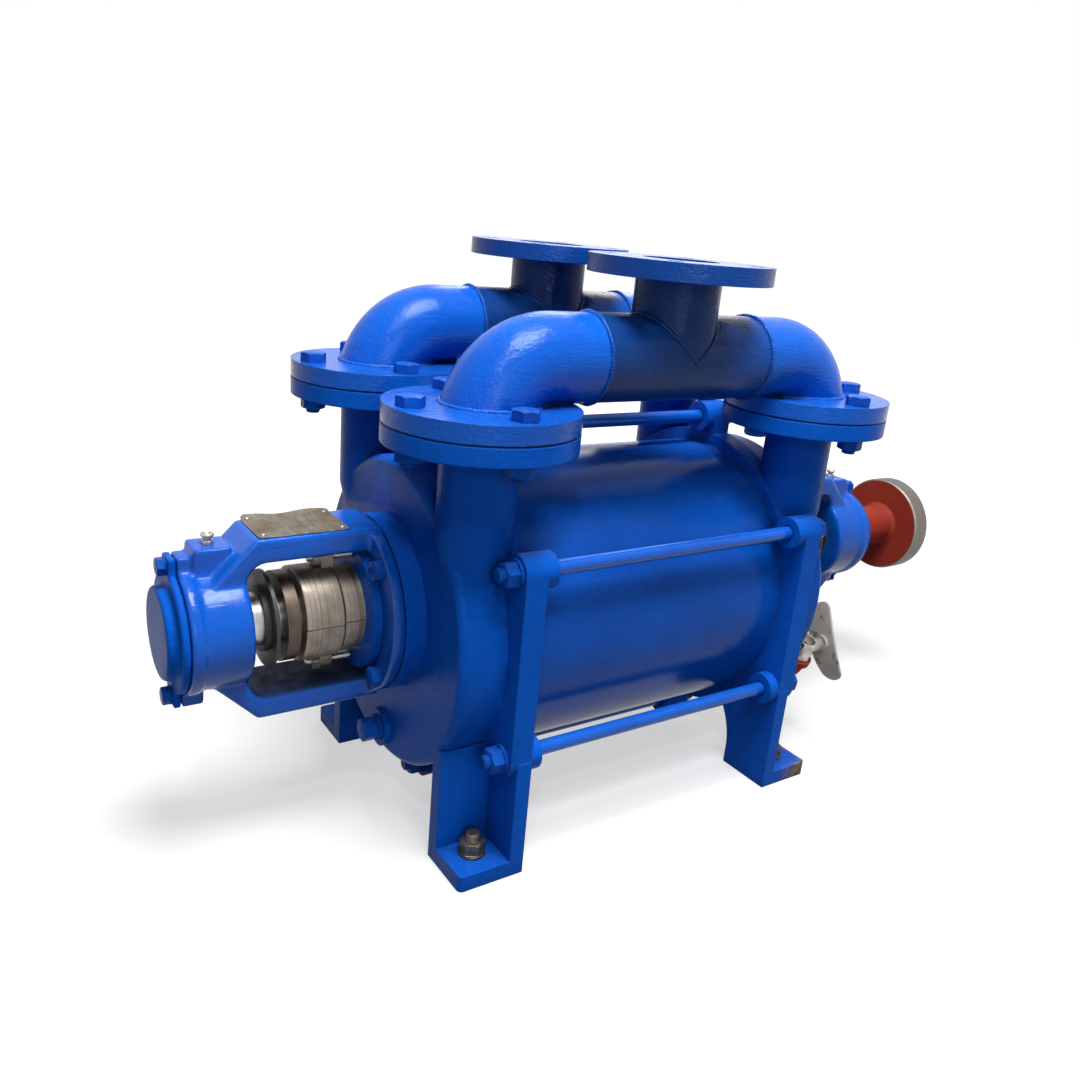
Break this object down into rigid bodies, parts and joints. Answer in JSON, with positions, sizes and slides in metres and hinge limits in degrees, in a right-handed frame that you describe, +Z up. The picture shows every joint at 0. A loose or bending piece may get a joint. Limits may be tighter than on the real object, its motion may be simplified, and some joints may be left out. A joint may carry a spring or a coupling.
{
  "type": "liquid ring vacuum pump",
  "caption": "Liquid ring vacuum pump: cast body between two end covers on feet, shaft with coupling half, bearing brackets, and twin pipe manifolds with flanged ports on top.",
  "frame": {"origin": "on the floor, in the middle of the four foot bolts", "axes": "+X along the shaft towards the coupling (drive end), +Z up, -Y towards the suction manifold and the drain valve"},
  "size_m": [1.104, 0.43, 0.63],
  "materials": {
    "blue_enamel": "glossy royal-blue enamel, brushed over castings, pipes and bolts",
    "red_enamel": "red-oxide paint on the coupling, its rim machined bare",
    "red_primer": "matt orange-red primer on the small pipe elbow",
    "machined_steel": "turned and ground steel",
    "bearing_steel": "ground bearing steel",
    "polished_steel": "polished steel gland, with turning marks",
    "dark_steel": "oil-blackened steel",
    "zinc": "weathered zinc plating",
    "cast_iron": "bare grey cast iron",
    "bronze": "turned bronze",
    "handle": "weathered light-grey pressing with rust spots",
    "black_rubber": "matt black rubber",
    "packing": "plaited packing, soaked with grease",
    "gasket": "dark fibre sheet"
  },
  "bodies": {
    "frame": {"casing_barrel": "blue_enamel", "nde_end_cover": "blue_enamel", "nde_casing_gasket": "gasket", "nde_port_plate": "cast_iron", "nde_valve_flap": "black_rubber", "de_end_cover": "blue_enamel", "de_casing_gasket": "gasket", "de_port_plate": "cast_iron", "de_valve_flap": "black_rubber", "tie_rods": "blue_enamel", "tie_rod_washers": "blue_enamel", "tie_rod_nuts": "blue_enamel", "suction_manifold": "blue_enamel", "discharge_manifold": "blue_enamel", "manifold_gaskets": "gasket", "flange_bolts": "blue_enamel", "flange_nuts": "blue_enamel", "flange_screws": "blue_enamel", "nde_packing_rings": "packing", "nde_lantern_ring": "bronze", "nde_gland": "polished_steel", "de_packing_rings": "packing", "de_lantern_ring": "bronze", "de_gland": "polished_steel", "gland_studs": "machined_steel", "nde_bearing_bracket": "blue_enamel", "de_bearing_bracket": "blue_enamel", "bracket_bolts": "blue_enamel", "nde_bearing_seal": "black_rubber", "nde_bearing_outer_race": "bearing_steel", "nde_bearing_cap": "blue_enamel", "de_bearing_seal": "black_rubber", "de_bearing_outer_race": "bearing_steel", "de_bearing_cap": "blue_enamel", "cap_bolts": "blue_enamel", "grease_nipples": "bronze", "drain_plug": "blue_enamel", "drain_nipples": "zinc", "drain_elbow": "red_primer", "valve_body": "zinc"},
    "rotor": {"shaft": "machined_steel", "impeller": "cast_iron", "impeller_key": "machined_steel", "nde_shaft_sleeve": "machined_steel", "de_shaft_sleeve": "machined_steel", "sleeve_collars": "dark_steel", "nde_slinger": "black_rubber", "nde_bearing_inner_race": "bearing_steel", "de_slinger": "black_rubber", "de_bearing_inner_race": "bearing_steel", "shaft_nuts": "machined_steel", "coupling_key": "machined_steel", "coupling_half": "red_enamel"},
    "nde_ball_set": {"nde_bearing_balls": "bearing_steel", "nde_bearing_cage": "bronze"},
    "de_roller_set": {"de_bearing_rollers": "bearing_steel", "de_bearing_cage": "bronze"},
    "valve_lever": {"valve_ball": "machined_steel", "wing_handle": "handle", "handle_nut": "zinc"}
  },
  "joints": [
    {"name": "rotor_spin", "type": "hinge", "parent": "frame", "child": "rotor", "pos_m": [0, 0, 0.25], "axis": [1, 0, 0], "continuous": true},
    {"name": "nde_cage_spin", "type": "hinge", "parent": "frame", "child": "nde_ball_set", "pos_m": [-0.452, 0, 0.25], "axis": [1, 0, 0], "continuous": true},
    {"name": "de_cage_spin", "type": "hinge", "parent": "frame", "child": "de_roller_set", "pos_m": [0.452, 0, 0.25], "axis": [1, 0, 0], "continuous": true},
    {"name": "valve_turn", "type": "hinge", "parent": "frame", "child": "valve_lever", "pos_m": [0.2925, -0.13016, 0.14688], "axis": [1, 0, 0], "range_deg": [-44, 46]}
  ],
  "couplings": [
    {"joint": "nde_cage_spin", "follows": "rotor_spin", "ratio": 0.38},
    {"joint": "de_cage_spin", "follows": "rotor_spin", "ratio": 0.4048}
  ]
}
